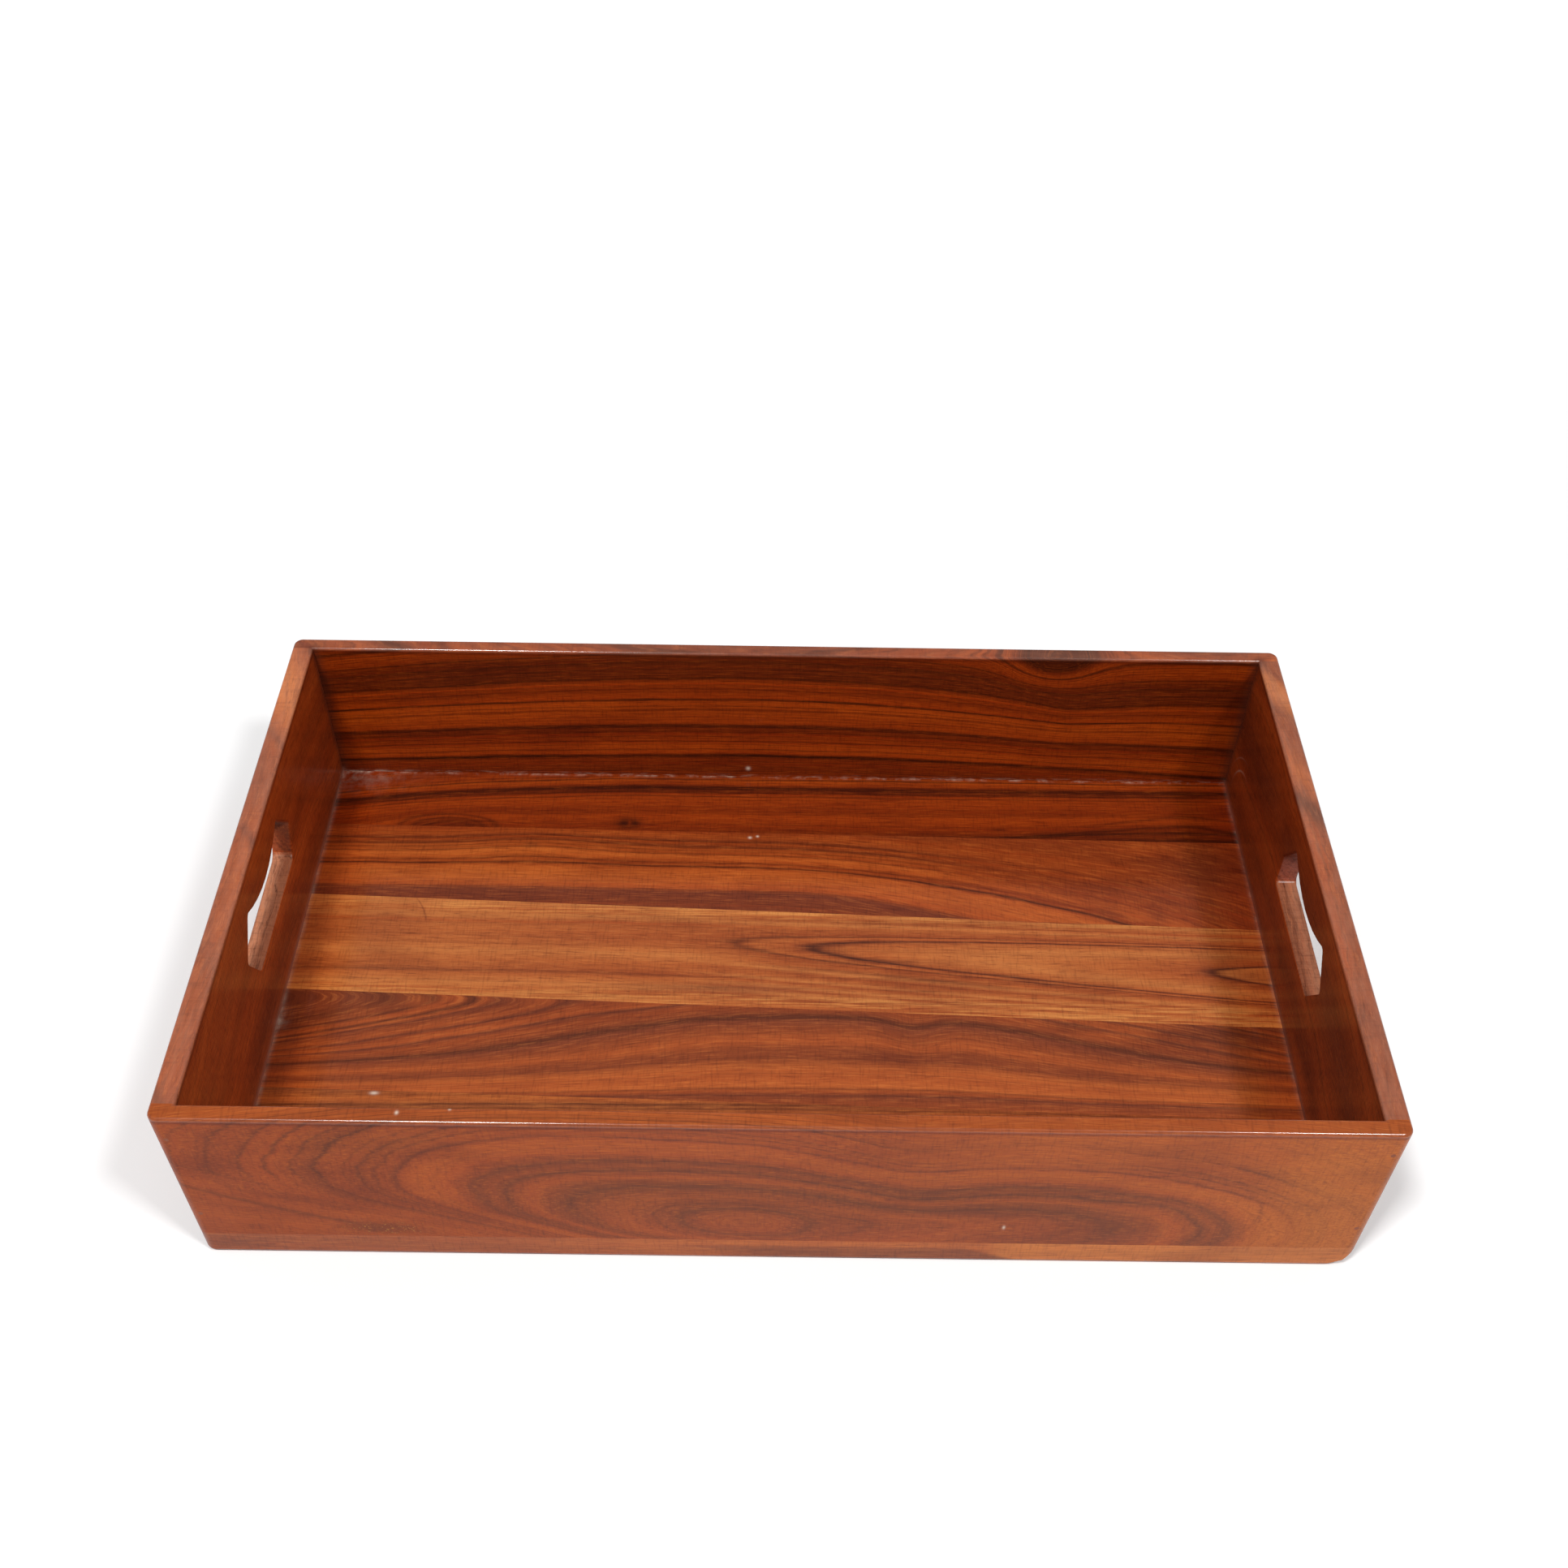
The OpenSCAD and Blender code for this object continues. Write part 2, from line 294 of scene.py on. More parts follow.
        # Rings
        fine = self.ring_noise(ring, 1.7, 3.0, 0.5)
        wide = self.ring_noise(ring, 6.5, 2.0, 9.1)
        ringed = ((fine - 0.5) * 1.5 * contrast + (wide - 0.5) * 1.0 * contrast).clamp(-1, 1)
        colour = self.blend((ringed * -1.3).clamp(0, 0.75), colour, PURPLE, "MULTIPLY")
        colour = self.blend((ringed * 0.75).clamp(0, 0.6), colour, GOLD, "SOFT_LIGHT")
        # Fibres and pores that follow the rings
        flow = (self.along, ring, self.cross_b)
        fibre = self.noise((13, 0.8, 0.8), 3.0, 0.65, shift=1.0, terms=flow)
        depth = contrast * 2.0 + 1.9
        colour = self.blend(((fibre - 0.53) * depth).clamp(0, 0.45), colour, BROWN, "MULTIPLY")
        colour = self.blend(((0.47 - fibre) * 2.0).clamp(0, 0.20), colour, GOLD, "SCREEN")
        pore_where = self.noise((5.5, 0.5, 0.5), 1.0, 0.4, shift=2.0, terms=flow)
        pores = step(pore_where, 0.62, 0.74)
        colour = self.blend(pores * 0.40, colour, DARK)
        # Fiddle-back ripple, uneven stain and dark sawn ends
        fiddle = self.noise((1.0, 8, 8), 2.0, 0.5, shift=19.0)
        colour = self.blend(((fiddle - 0.5) * 1.2).clamp(0, 0.3), colour, PURPLE, "MULTIPLY")
        stain = self.noise((70, 24, 24), 2.0, shift=4.0)
        colour = self.blend(((stain - 0.5) * 1.6).clamp(0, 0.35), colour, RUST, "MULTIPLY")
        outside = step(self.y.size(), 120, 125) if self.grain == "y" else 1.0
        colour = self.blend(self.end_grain * outside * 0.55, colour, PURPLE, "MULTIPLY")
        return colour, fibre, pores, stain

    def rim_layers(self, colour, tint, wear):
        """The board's tint, the rubbed rim and the darker line below it."""
        rim = step(self.z, RIM_Z - 2.4, RIM_Z - 0.8)
        colour = self.blend(1 - rim * 0.42, colour, tint, "MULTIPLY")
        rubbed = self.noise((16, 3, 3), 3.0, 0.6, shift=16.0)
        colour = self.blend(rim * (rubbed * 0.5) * wear, colour, WORN)
        under_rim = bell(self.z, RIM_Z - 2.3, 0.9) * (1 - self.facing["z"].size())
        return self.blend(under_rim * 0.5, colour, RUST, "MULTIPLY")

    def shader(self, colour, roughness):
        """The surface shader, linked to the material's output."""
        shader = self.tree.nodes.new("ShaderNodeBsdfPrincipled")
        self.tree.links.new(colour, shader.inputs["Base Color"])
        self.tree.links.new(roughness.socket, shader.inputs["Roughness"])
        self.tree.links.new(shader.outputs[0], self.output.inputs["Surface"])
        return shader

    def lacquer(self, colour, fibre, pores, stain, haze, coat):
        """Satin lacquer over the wood, rippled and glossier along the rim's edges."""
        peel = self.noise((5, 5, 5), 2.0, shift=5.0)
        grit = self.noise((0.8, 0.8, 0.8), 2.0, shift=6.0)
        edge = step(self.z, RIM_Z - 1.9, RIM_Z - 1.1) * (1 - step(self.z, RIM_Z - 0.12, RIM_Z))
        ripple = self.noise((3.0, 1.3, 1.3), 2.0, 0.6, shift=17.0)
        height = peel * 0.55 + grit * 0.12 - pores * 0.12 + fibre * 0.08 + ripple * edge * 4.0
        bump = self.tree.nodes.new("ShaderNodeBump")
        bump.inputs["Strength"].default_value = 0.22
        bump.inputs["Distance"].default_value = 0.0006
        self.tree.links.new(height.socket, bump.inputs["Height"])

        roughness = (grit - 0.5) * 0.12 + (stain - 0.5) * 0.14 + pores * 0.12 + 0.5
        shader = self.shader(colour, roughness.clamp(0.2, 0.8))
        self.tree.links.new(bump.outputs[0], shader.inputs["Normal"])
        shader.inputs["Specular IOR Level"].default_value = 0.08
        self.tree.links.new((edge * (1 - coat) + coat).socket, shader.inputs["Coat Weight"])
        gloss = (stain - 0.5) * 0.06 + (grit - 0.5) * 0.06 + edge * 0.06 + haze
        self.tree.links.new(gloss.clamp(0.03, 0.4).socket, shader.inputs["Coat Roughness"])
        shader.inputs["Coat IOR"].default_value = 1.5

    def finish(self, colour, ring, lines=None, contrast=1.0, tint=(1.0, 1.0, 1.0), wear=1.0,
               haze=0.09, coat=0.55, specks=None):
        """The whole look over the board's own figure. wear is how rubbed the rim is, haze the
        lacquer's roughness, coat its strength and specks where dried finish sits."""
        colour, fibre, pores, stain = self.wood_layers(colour, ring, lines, contrast)
        colour = self.rim_layers(colour, tint, wear)
        colour = self.corners(colour)
        if specks is not None:
            colour = self.blend(specks.clamp(0, 0.9), colour, DUST)
        self.lacquer(colour, fibre, pores, stain, haze, coat)
        return self.material


# ---- The boards ----


def wavy(board, ring, amount, length=55.0, width=9.0):
    """The ring field with the slow wander that real growth lines have."""
    wander = board.noise((length, width, width), 2.0, shift=7.0)
    flutter = board.noise((11.0, 1.1, 1.1), 3.0, 0.6, shift=8.0)
    return ring + (wander - 0.5) * amount * 2.0 + (flutter - 0.5) * amount * 0.7


def front_board():
    """Oval rings round a long heart, a dark vein at the lower left and a paler right end."""
    board = Board("front_board_wood", "x", 1.0)
    x, z = board.x, board.z
    heart = 48.5 - ((x + 115) / 70).math("TANH") * 21
    dip = bell(x, 57, 28) * 7 - bell(x, 112, 35) * 2
    rise = z - heart + dip * step(z, 26, 45)
    reach = x + 12
    left = (reach * -1).math("MAXIMUM", 0) / 22.5
    right = reach.math("MAXIMUM", 0)
    right = right / 18.5 - ease(right - 27, 6) * 0.039 + ease(right - 175, 10) / 30.0
    above = rise.math("MAXIMUM", 0)
    above = (above - ease(above - 30, 8) * 0.35) / (7.2 - (x / 60).math("TANH") * 0.6)
    below = (rise * -1).math("MAXIMUM", 0)
    below = below / 13 + ease(below - 12, 6) / ((x / 80).math("TANH") * 1.2 + 5.0)
    swirl = (left.square() + right.square() + above.square() + below.square() + 0.02).root()
    ring = wavy(board, swirl + (board.y - FRONT_Y) * 0.25, 0.24, 60, 14)
    colour = board.ramp(ring, [
        (0.0, AMBER), (1.0, RUST), (1.3, PURPLE), (1.6, BROWN), (2.1, RUST), (2.5, AMBER),
        (2.9, RUST), (3.2, BROWN), (3.5, PURPLE), (3.85, BROWN), (4.05, AMBER), (4.35, RUST),
        (4.6, PURPLE), (4.9, BROWN), (5.2, PURPLE), (5.45, RUST), (5.7, AMBER), (6.1, ORANGE),
        (6.4, AMBER), (6.6, BROWN), (6.85, RUST), (7.2, BROWN), (7.6, RUST), (8.1, BROWN),
        (8.8, AMBER), (9.8, RUST), (11.0, AMBER), (12.5, RUST), (14.0, AMBER), (16.5, RUST),
    ])
    lines = board.lines(ring, [
        (1.32, 0.12, 0.30), (1.9, 0.06, 0.20), (2.3, 0.05, 0.20), (3.45, 0.13, 0.42),
        (4.62, 0.09, 0.50), (5.2, 0.10, 0.35), (6.58, 0.06, 0.50), (6.95, 0.04, 0.35),
        (7.25, 0.04, 0.35), (7.5, 0.03, 0.30), (8.0, 0.06, 0.6), (8.4, 0.05, 0.5),
        (8.9, 0.06, 0.6), (9.4, 0.05, 0.5), (10.0, 0.06, 0.5), (10.7, 0.06, 0.4),
    ])
    # The calm upper right and the pale right end
    pale = step(x, 188, 232)
    calm = step(x, -10, 90) * step(z - x * 0.02, 66, 78)
    colour = board.blend(calm * 0.8, colour, AMBER)
    colour = board.blend(pale * 0.75, colour, HONEY)
    colour = board.blend(step(z, 76, 94) * step(x, -170, -120) * 0.4, colour, AMBER)
    # Vein and hook at the left end, and the crumbly knot where the vein starts
    reached = (x * -1) - 172
    vein = bell(z - reached * 0.30 - (reached / 78).square() * 8, 21, 1.5) * step(reached, -4, 6)
    colour = board.blend((vein * 0.75).clamp(), colour, DARK)
    hook = bell(z - (reached / 78).square() * 4 - reached * 0.34, 38, 1.1) * step(reached, 20, 45)
    colour = board.blend((hook * 0.35).clamp(), colour, DARK)
    knot = spot(x, z, (-172, 21.5), (16, 4.2))
    crumb = board.noise((1.6, 1.2, 1.2), 2.0, 0.6, shift=11.0)
    colour = board.blend((knot * (crumb * 3.0 - 0.3)).clamp(0, 0.9), colour, DARK)
    colour = board.blend((knot * step(crumb, 0.60, 0.64) * 1.4).clamp(0, 0.8), colour, DUST)
    # Broken crack at the right, and small dark clouds
    crack = bell(x + ((z - 40) / 20).square() * 9, 205, 1.3) * spot(x, z, (200, 42), (30, 18))
    broken = board.noise((3, 3, 3), 2.0, shift=12.0)
    colour = board.blend((crack * step(broken, 0.38, 0.5) * 0.55).clamp(), colour, DARK)
    for centre, radii, strength in (
        ((62, 51), (4.0, 3.0), 0.45), ((-82, 54), (5, 5), 0.40), ((226, 48), (10, 3.5), 0.40),
        ((95, 20), (26, 6.5), 0.35), ((148, 28), (14, 4), 0.35), ((-38, 38), (5, 3), 0.35),
    ):
        colour = board.blend(spot(x, z, centre, radii) * strength, colour, DARK)
    colour = board.blend(0.45, colour, CLAY)
    colour = board.blend(step(z, RIM_Z - 1.5, RIM_Z - 0.3) * step(x, 20, 110) * 0.6, colour, RUST)
    # Painted light: lighter and paler towards the upper right and at the top left; duller in the middle
    painted_light = (step(x, 0, 150) * step(z, 60, 85)).math("MAXIMUM", step(x, 130, 205))
    painted_light = (painted_light + spot(x, z, (-165, 86), (32, 9)) * 0.7) * (1 - step(z, RIM_Z - 2.5, RIM_Z - 1))
    colour = board.blend(painted_light.clamp(), colour, PAINTED_LIGHT, "MULTIPLY")
    muted = bell(z, 48, 20) * step(x, -130, -60) * (1 - step(x, 130, 180))
    colour = board.blend(muted, colour, MUTED, "MULTIPLY")
    outer_face = 1 - step(board.y, FRONT_Y + 1, FRONT_Y + 3)
    specks = spot(x, z, (97, 28), (0.6, 1.3)) * outer_face
    rim_specks = spot(x, board.y, (-154, -147.5), (0.7, 0.9))
    rim_specks = rim_specks + spot(x, board.y, (-133, -145.2), (0.6, 0.8))
    specks = specks + rim_specks * step(z, RIM_Z - 1, RIM_Z - 0.5)
    lines = lines * (1 - pale) * (1 - calm) * (1 - step(heart - z, 2, 12) * 0.6) * 0.7
    coat = step(x, -220, 0) * 0.1 + 0.2
    return board.finish(colour, ring * 8.0, lines, 0.30, (0.97, 0.64, 0.11), 0.15, coat=coat,
                    specks=specks)


def back_board():
    """Level dark bands that dip to a cusp at the right, below a knot on the rim."""
    board = Board("back_board_wood", "x", 2.0)
    x, z = board.x, board.z
    left = ((x * -1).math("MAXIMUM", 0) / 240).square() * (z * 0.16 + 3.4)
    right = (x.math("MAXIMUM", 0) / 240).square() * 12
    near = ((x - 151).square() + 60).root()
    cusp = (near / -62).math("EXPONENT") * (z / 66).square().math("MINIMUM", 1.0) * 15.5
    knot = spot(x, z, (138, 101), (20, 16)) * 24
    ring = wavy(board, z + left + right + cusp + knot + (BACK_INNER_Y - board.y) * 0.2, 1.1)
    colour = board.ramp(ring, [
        (14, BROWN), (17, RUST), (23, BROWN), (27, RUST), (29, BROWN), (31.8, AMBER),
        (38, ORANGE), (41, RUST), (43, AMBER), (46, RUST), (49, BROWN), (52.5, PURPLE),
        (54, AMBER), (62, ORANGE), (69, ORANGE), (72, AMBER), (78, RUST), (82, AMBER),
        (84.5, BROWN), (88, PURPLE), (93, PURPLE), (97, PURPLE), (100, BROWN), (104, RUST),
        (109, AMBER), (113, BROWN), (116, AMBER), (120, BROWN), (125, DARK), (131, DARK),
    ])
    lines = board.lines(ring, [
        (30.2, 0.95, 0.90), (26.0, 0.5, 0.3), (20.5, 0.5, 0.35), (41.0, 0.4, 0.35),
        (44.6, 0.45, 0.45), (52.3, 1.4, 0.45), (47.5, 0.5, 0.35), (70.6, 0.9, 0.85),
        (76.0, 0.5, 0.2), (85.2, 1.2, 0.55), (88.5, 0.5, 0.35), (95.5, 1.4, 0.35),
        (35.0, 0.4, 0.30), (38.4, 0.4, 0.30), (58.5, 0.4, 0.30), (66.0, 0.4, 0.25),
        (80.2, 0.5, 0.35), (82.6, 0.4, 0.35), (91.0, 0.6, 0.45), (98.0, 0.4, 0.35),
        (101.5, 0.5, 0.5), (106.5, 0.4, 0.35), (113.5, 1.1, 0.60),
    ])
    inner_face = 1 - step(board.y, BACK_INNER_Y + 0.5, BACK_INNER_Y + 2)
    return board.finish(colour, ring, lines, 0.85, (0.86, 0.43, 0.09), 0.6,
                    specks=spot(x, z, (-20, 21), (1.1, 1.2)) * inner_face)


def end_board(name, seed, outer_x, tint, patches, rim_bands, sawn_tone, streaks=None):
    """Plain wavy wood with soft patches, slanting bands across the rim and a rubbed slot."""
    board = Board(name, "y", seed)
    y, z = board.y, board.z
    ring = wavy(board, z * 0.8 + (y / 150).square() * 14 + board.x * 0.9, 7.0, 80, 22)
    colour = board.ramp(ring.math("PINGPONG", 40.0), [
        (0, RUST), (8, BROWN), (14, RUST), (21, AMBER), (27, RUST), (33, BROWN), (40, PURPLE),
    ])
    for centre, radii, strength, tone in patches:
        colour = board.blend(spot(y, z, centre, radii) * strength, colour, tone)
    on_rim = step(z, RIM_Z - 2.5, RIM_Z - 0.6)
    # Bands cross the rim at a slant
    slanted = y + (board.x - outer_x) * 1.4
    for centre, width, strength, tone in rim_bands:
        band = bell(slanted, centre, width) * on_rim * strength
        colour = board.blend((band * 1.3).clamp(0, 0.9), colour, tone)
    # The slot's lower edge is scuffed, and its ends are sawn across the grain
    in_slot = step(board.facing["z"], 0.5, 0.8) * (1 - step(z, 54, 56)) * step(z, 46, 48)
    cut_end = board.end_grain * (1 - step(y.size(), 60, 62))
    chipped = board.noise((2.2, 2.2, 2.2), 3.0, 0.6, shift=18.0)
    colour = board.blend(in_slot * (chipped * 0.4 + 0.6), colour, SCUFFED)
    colour = board.blend(in_slot * (1 - step(board.x.size(), 246, 251)) * 0.4, colour, BROWN)
    colour = board.blend(cut_end * (chipped * 0.7 + 0.4), colour, sawn_tone)
    # Less lacquer inside the slot
    sawn = (1 - step(board.facing["x"].size(), 0.9, 0.98)) * (1 - step(y.size(), 62, 64))
    sawn = sawn * step(z, 44, 46) * (1 - step(z, 86, 90))
    specks = None
    if streaks:
        curve = ((y - streaks[0]).square() + (z - streaks[1]).square()).root()
        thin = bell(curve, 22, 0.5) + bell(curve, 29, 0.4) * 0.7
        specks = thin * spot(y, z, (streaks[0] + 14, streaks[1] + 17), (10, 11)) * chipped * 0.6
    return board.finish(colour, ring * 1.3, None, 0.7, tint, haze=0.17, coat=0.55 - sawn * 0.45,
                    specks=specks)


def left_board():
    return end_board("left_board_wood", 3.0, LOW.x, (1.15, 0.75, 0.42), [
        # Painted light: the first patch makes the front part of the wall brighter
        ((-85, 60), (45, 40), 0.55, AMBER),
        ((-50, 30), (28, 12), 0.45, PURPLE), ((105, 40), (35, 16), 0.35, PURPLE),
        ((60, 88), (45, 9), 0.3, AMBER), ((-100, 80), (35, 14), 0.25, RUST),
        ((0, 20), (130, 7), 0.45, AMBER),
    ], [
        (-138, 5, 0.6, DARK), (-60, 10, 0.55, PURPLE), (18, 5, 0.7, PURPLE), (55, 26, 0.5, PURPLE),
        (84, 4, 0.7, PURPLE), (118, 22, 0.75, GOLD), (-90, 14, 0.5, RUST),
        (-122, 12, 0.4, RUST), (-50, 75, 0.35, BROWN),
    ], SAWN_BROWN)


def right_board():
    return end_board("right_board_wood", 4.0, HIGH.x, (0.86, 0.54, 0.30), [
        ((-70, 35), (26, 22), 0.5, DARK), ((-62, 22), (16, 5), 0.85, AMBER),
        ((95, 60), (30, 25), 0.4, PURPLE), ((0, 32), (8, 4), 0.5, DARK),
        ((55, 72), (14, 16), 0.45, RUST), ((-115, 88), (26, 8), 0.3, PURPLE),
    ], [
        (-100, 10, 0.5, PURPLE), (-35, 14, 0.35, RUST), (28, 9, 0.75, DARK), (52, 12, 0.7, ORANGE),
        (96, 5, 0.55, PURPLE), (113, 13, 0.7, GOLD), (128, 4, 0.5, PURPLE),
    ], SAWN_MAUVE, (112, 24))


def base_plank_5():
    """Red-brown, with a dark band along the back, a knot and dark veins at the right."""
    board = Board("base_plank_5_wood", "x", 5.0)
    x, y = board.x, board.y
    fall = ((x * -1 - 60).math("MAXIMUM", 0) / 180).square() * 14
    eye = spot(x, y, (-175, 103), (34, 12)) * 6
    climb = step(x, 100, 215) * 9 * ((y - 97) / 14).math("MULTIPLY", -1).math("EXPONENT")
    ring = wavy(board, y + fall - eye - climb + (FLOOR_Z - board.z) * 0.5, 1.0)
    colour = board.ramp(ring, [
        (90, DARK), (96, BROWN), (98, PURPLE), (100, BROWN), (105, RUST), (112, AMBER),
        (118, RUST), (124, AMBER), (129, AMBER), (131, BROWN), (133.5, PURPLE), (136.5, BROWN),
        (138, AMBER), (141, ORANGE), (144, AMBER), (148, RUST), (155, AMBER),
    ])
    lines = board.lines(ring, [
        (131.2, 0.7, 0.45), (134.7, 1.4, 0.58), (128.0, 0.5, 0.45), (141.6, 0.7, 0.65),
        (123.0, 0.4, 0.25), (125.6, 0.3, 0.3), (139.0, 0.3, 0.3),
    ]) + bell(ring, 98.8, 1.3) * step(x, 60, 130) * 0.6
    # Two veins that close towards the left
    first = y - 110 + ease(212 - x, 12) * 0.12 + ease(x - 222, 6) * 0.25
    second = y - 117 + ease(212 - x, 8) * 0.17 + ease(x - 220, 5) * 0.15
    wedge = bell(first, 0, 1.5) * step(x, 100, 150) * 0.75
    wedge = wedge + bell(second, 0, 1.2) * step(x, 155, 185) * 0.55
    colour = board.blend(wedge.clamp(0, 0.8), colour, DARK)
    # Half an eye against the glue line at the left
    arch = (((x + 180) / 26).square() + ((y - 102) / 9.5).square()).root()
    rings = bell(arch, 1.0, 0.09) * 0.6 + bell(arch, 0.72, 0.08) * 0.5 + bell(arch, 0.45, 0.1) * 0.4
    colour = board.blend((1 - step(arch, 0.6, 1.0)) * 0.4, colour, DARK)
    colour = board.blend(rings.clamp(), colour, DARK)
    for centre, radii, strength, tone in (
        ((-83.5, 106.3), (6.0, 4.6), 0.98, DARK), ((-86.5, 106.5), (2.2, 2.8), 0.6, INK),
        ((-79.5, 106.0), (2.0, 2.6), 0.5, INK), ((-83, 106.5), (1.0, 2.2), 0.7, RUST),
        ((116, 105), (5, 0.9), 0.7, DARK), ((60, 112), (12, 5), 0.25, PURPLE),
        ((-215, 140), (25, 5), 0.25, PURPLE),
    ):
        colour = board.blend(spot(x, y, centre, radii) * strength, colour, tone)
    return board.finish(colour, ring, lines, 0.6, (0.69, 0.34, 0.08), haze=0.14)


def base_plank_4():
    """Bands that sweep to the front at the right, and a dark strip by the glue line."""
    board = Board("base_plank_4_wood", "x", 6.0)
    x, y = board.x, board.y
    drop = ease(x - 20, 30) * 0.185
    knee = bell(x, -130, 42) * bell(y, 90, 15) * 4.5
    ring = wavy(board, y + drop * (1.75 - y / 80) - knee + (FLOOR_Z - board.z) * 0.5, 0.9)
    colour = board.ramp(ring, [
        (40, PURPLE), (48, BROWN), (57, PURPLE), (60, AMBER), (66, ORANGE), (71, ORANGE),
        (74, AMBER), (77, RUST), (79, AMBER), (82, ORANGE), (84.5, RUST), (87, AMBER),
        (90, BROWN), (92, RUST), (94, BROWN), (97, AMBER), (100, RUST), (104, BROWN),
        (110, PURPLE), (118, BROWN), (130, PURPLE),
    ])
    settled = step(x, 45, 120)
    colour = board.blend(settled * step(ring, 79, 83) * 0.7, colour, RUST)
    lines = board.lines(ring, [
        (77.6, 0.5, 0.45), (83.8, 0.45, 0.4), (89.4, 0.7, 0.40), (93.2, 0.6, 0.45),
        (86.6, 0.4, 0.35), (97.5, 0.4, 0.3), (58.6, 0.5, 0.2), (63.5, 0.3, 0.15),
    ]) * (1 - settled * 0.7) + bell(ring, 74.8, 0.75) * 0.75
    for centre, radii, strength, tone in (
        ((-134, 89), (4, 2.2), 0.55, DARK), ((168, 45), (6, 6), 0.4, PURPLE),
        ((193, 43), (5, 7), 0.45, PURPLE), ((222, 75), (30, 18), 0.55, PURPLE),
        ((195, 92), (22, 6), 0.5, AMBER), ((-170, 66), (95, 7), 0.35, GOLD),
        ((-170, 84), (85, 6), 0.30, GOLD),
    ):
        colour = board.blend(spot(x, y, centre, radii) * strength, colour, tone)
    specks = spot(x, y, (-18, 96.6), (0.9, 0.8)) + spot(x, y, (-14, 97.6), (0.7, 0.7))
    specks = specks * step(board.z, FLOOR_Z - 1, FLOOR_Z)
    return board.finish(colour, ring, lines, 0.36, (0.91, 0.62, 0.33), haze=0.14, specks=specks)


def base_plank_3():
    """The palest plank: nested tongues that open to the right, and silky long edges."""
    board = Board("base_plank_3_wood", "x", 7.0)
    x, y = board.x, board.y
    off_heart = y - 19.5 + x * 0.065
    spread = off_heart.square() / 1.3 - x + 262
    ring = wavy(board, spread.math("MAXIMUM", 0.01).root() + (FLOOR_Z - board.z) * 0.12, 0.36, 70, 10)
    tongues = board.ramp(ring, [
        (0.0, ORANGE), (6.2, GOLD), (6.8, BROWN), (7.6, AMBER), (9.5, ORANGE), (12.5, GOLD),
        (15.0, ORANGE), (15.7, BROWN), (16.2, AMBER), (16.6, ORANGE), (17.0, RUST),
        (18.2, AMBER), (19.5, ORANGE), (21.0, GOLD), (22.4, AMBER), (24.0, ORANGE),
        (25.4, GOLD), (26.4, AMBER), (27.2, ORANGE), (28.6, GOLD), (30.0, AMBER), (32.0, GOLD),
        (34.0, AMBER), (37.0, ORANGE),
    ])
    straight = wavy(board, y + (x + 240) * 0.012, 2.2, 90, 12)
    streaks = board.ramp(straight, [
        (-24, ORANGE), (-16, GOLD), (-10, ORANGE), (-6, GOLD), (-1, ORANGE), (2, RUST),
        (4, AMBER), (9, ORANGE), (15, GOLD), (20, ORANGE), (26, AMBER), (31, ORANGE),
        (36, AMBER), (39, GOLD), (43, ORANGE), (47, GOLD), (54, GOLD),
    ])
    swept = step(x, -70, 5)
    colour = board.blend(swept, streaks, tongues)
    lines = board.lines(ring, [
        (6.8, 0.22, 0.55), (15.75, 0.17, 0.65), (17.0, 0.15, 0.50), (18.1, 0.08, 0.20),
        (19.9, 0.10, 0.22), (22.6, 0.08, 0.2),
    ]) * swept
    # Thin dark veins inside the tongues
    lower = x - 45
    veins = bell(y + lower * 0.105 + (lower / 90).square() * 2.0, 1.5, 1.3)
    veins = veins * spot(x, x, (60, 60), (85, 85)) + spot(x, y, (52, 9.8), (26, 1.5))
    veins = veins + spot(x, y + (x - 120) * 0.24, (120, -0.5), (19, 1.7))
    colour = board.blend((veins * 0.42).clamp(), colour, DARK)
    for centre, radii, strength, tone in (
        ((-30, -9), (48, 4.0), 0.50, PURPLE), ((60, -17), (70, 4), 0.3, BROWN),
        ((-120, 16), (28, 9), 0.25, RUST), ((-200, 1.5), (30, 1.6), 0.35, PURPLE),
        ((-60, 30), (50, 5), 0.25, RUST), ((230, 2), (12, 5), 0.35, PURPLE),
    ):
        colour = board.blend(spot(x, y, centre, radii) * strength, colour, tone)
    colour = board.blend(spot(x, y, (-190, 20), (75, 32)) * 0.35, colour, GOLD)
    # Bright fibres along both long edges, and a scratch
    silk = board.noise((40, 1.2, 1.2), 3.0, 0.65, shift=15.0)
    bright = step(y + x * 0.02, 34, 42) + (1 - step(y + x * 0.02, -17, -8)) * 0.8
    colour = board.blend((step(silk, 0.46, 0.60) * bright * 0.8).clamp(), colour, STRAW)
    scratch = bell(x + (y - 41) * 0.42 + ((y - 41) / 8).square() * 1.2, -184, 0.5)
    scratch = scratch * step(y, 32, 36) * (1 - step(y, 46, 50))
    colour = board.blend((scratch * 0.6).clamp(), colour, BROWN)
    return board.finish(colour, straight, lines, 0.40, (0.84, 0.68, 0.50), haze=0.14)


